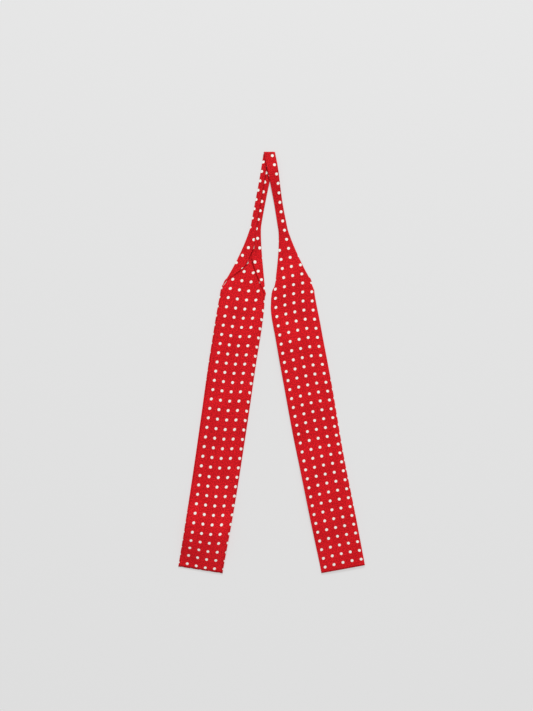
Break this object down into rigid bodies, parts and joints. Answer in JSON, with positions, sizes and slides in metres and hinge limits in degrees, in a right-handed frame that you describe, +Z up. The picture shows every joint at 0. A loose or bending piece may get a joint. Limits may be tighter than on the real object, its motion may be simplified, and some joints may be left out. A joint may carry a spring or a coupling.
{
  "type": "bow tie",
  "caption": "Untied self-tie bow tie of dotted silk, folded in two at its neck band and laid flat, with long square-ended blades.",
  "frame": {"origin": "middle of the folded tie in plan, on the surface it lies on", "axes": "+Y along the tie from the blades' ends to the fold, +X to the right with the blades' ends towards the viewer, +Z up off the surface"},
  "size_m": [0.2636, 0.599, 0.0041],
  "materials": {
    "dotted_silk": "red silk twill with small off-white dots in a square grid, soft sheen",
    "interlining": "matt off-white woven cotton and wool",
    "sewing_thread": "twisted red thread"
  },
  "bodies": {
    "left_half": {"left_shell": "dotted_silk", "left_back_panel": "dotted_silk", "left_interlining": "interlining", "left_back_seam_thread": "sewing_thread", "left_edge_seam_thread": "sewing_thread", "centre_join_thread": "sewing_thread"},
    "right_half": {"right_shell": "dotted_silk", "right_back_panel": "dotted_silk", "right_interlining": "interlining", "right_back_seam_thread": "sewing_thread", "right_edge_seam_thread": "sewing_thread"}
  },
  "joints": [
    {"name": "centre_fold", "type": "hinge", "parent": "left_half", "child": "right_half", "pos_m": [-0.00302, 0.29931, 0.00205], "axis": [-1, 0, 0], "range_deg": [0, 179]}
  ]
}
